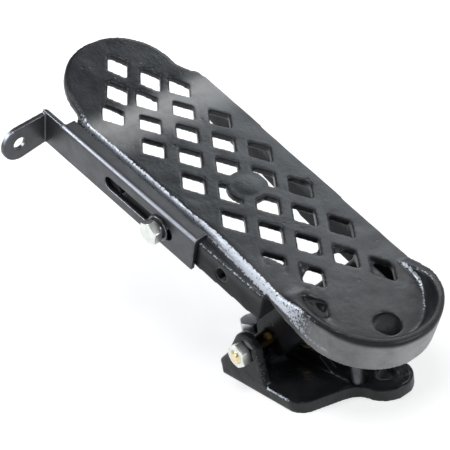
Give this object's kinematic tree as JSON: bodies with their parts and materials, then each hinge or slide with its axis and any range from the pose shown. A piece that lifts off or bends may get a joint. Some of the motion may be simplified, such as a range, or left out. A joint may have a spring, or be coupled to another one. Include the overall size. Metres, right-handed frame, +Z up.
{
  "type": "sewing machine pedal",
  "caption": "Cast foot pedal with a pierced rocking deck, a heel cup, a slotted lift bracket for a chain and a bolted hinge base, for raising a sewing machine's presser foot.",
  "frame": {"origin": "centre of the base's mounting hole, at the underside of the base", "axes": "+X towards the heel, +Y towards the far side of the deck, away from the lift bracket, +Z up"},
  "size_m": [0.2631, 0.1414, 0.1764],
  "materials": {
    "black_casting": "gloss black paint over the grain of a sand casting",
    "black_steel": "satin black on bent strip",
    "bright_zinc": "bright zinc plating",
    "yellow_zinc": "yellow passivated zinc plating",
    "dark_steel": "plain grey steel"
  },
  "bodies": {
    "base": {"base_bracket": "black_casting", "pivot_bolt": "yellow_zinc", "pivot_nut": "bright_zinc", "pivot_washer": "yellow_zinc", "near_spacer": "yellow_zinc", "far_spacer": "yellow_zinc", "stop_bolt": "bright_zinc", "stop_lock_nut": "bright_zinc", "heel_stop_pin": "dark_steel"},
    "pedal": {"foot_plate": "black_casting", "bracket_bolt": "bright_zinc", "bracket_spring_washer": "bright_zinc", "bracket_flat_washer": "bright_zinc"},
    "bracket": {"lift_bracket": "black_steel"}
  },
  "joints": [
    {"name": "pedal_hinge", "type": "hinge", "parent": "base", "child": "pedal", "pos_m": [-0.0585, -0.0075, 0.0255], "axis": [0, -1, 0], "range_deg": [0, 15]},
    {"name": "bracket_slide", "type": "slide", "parent": "pedal", "child": "bracket", "axis": [0.9038, 0.0741, -0.4215], "range_m": [-0.006, 0.006]}
  ]
}
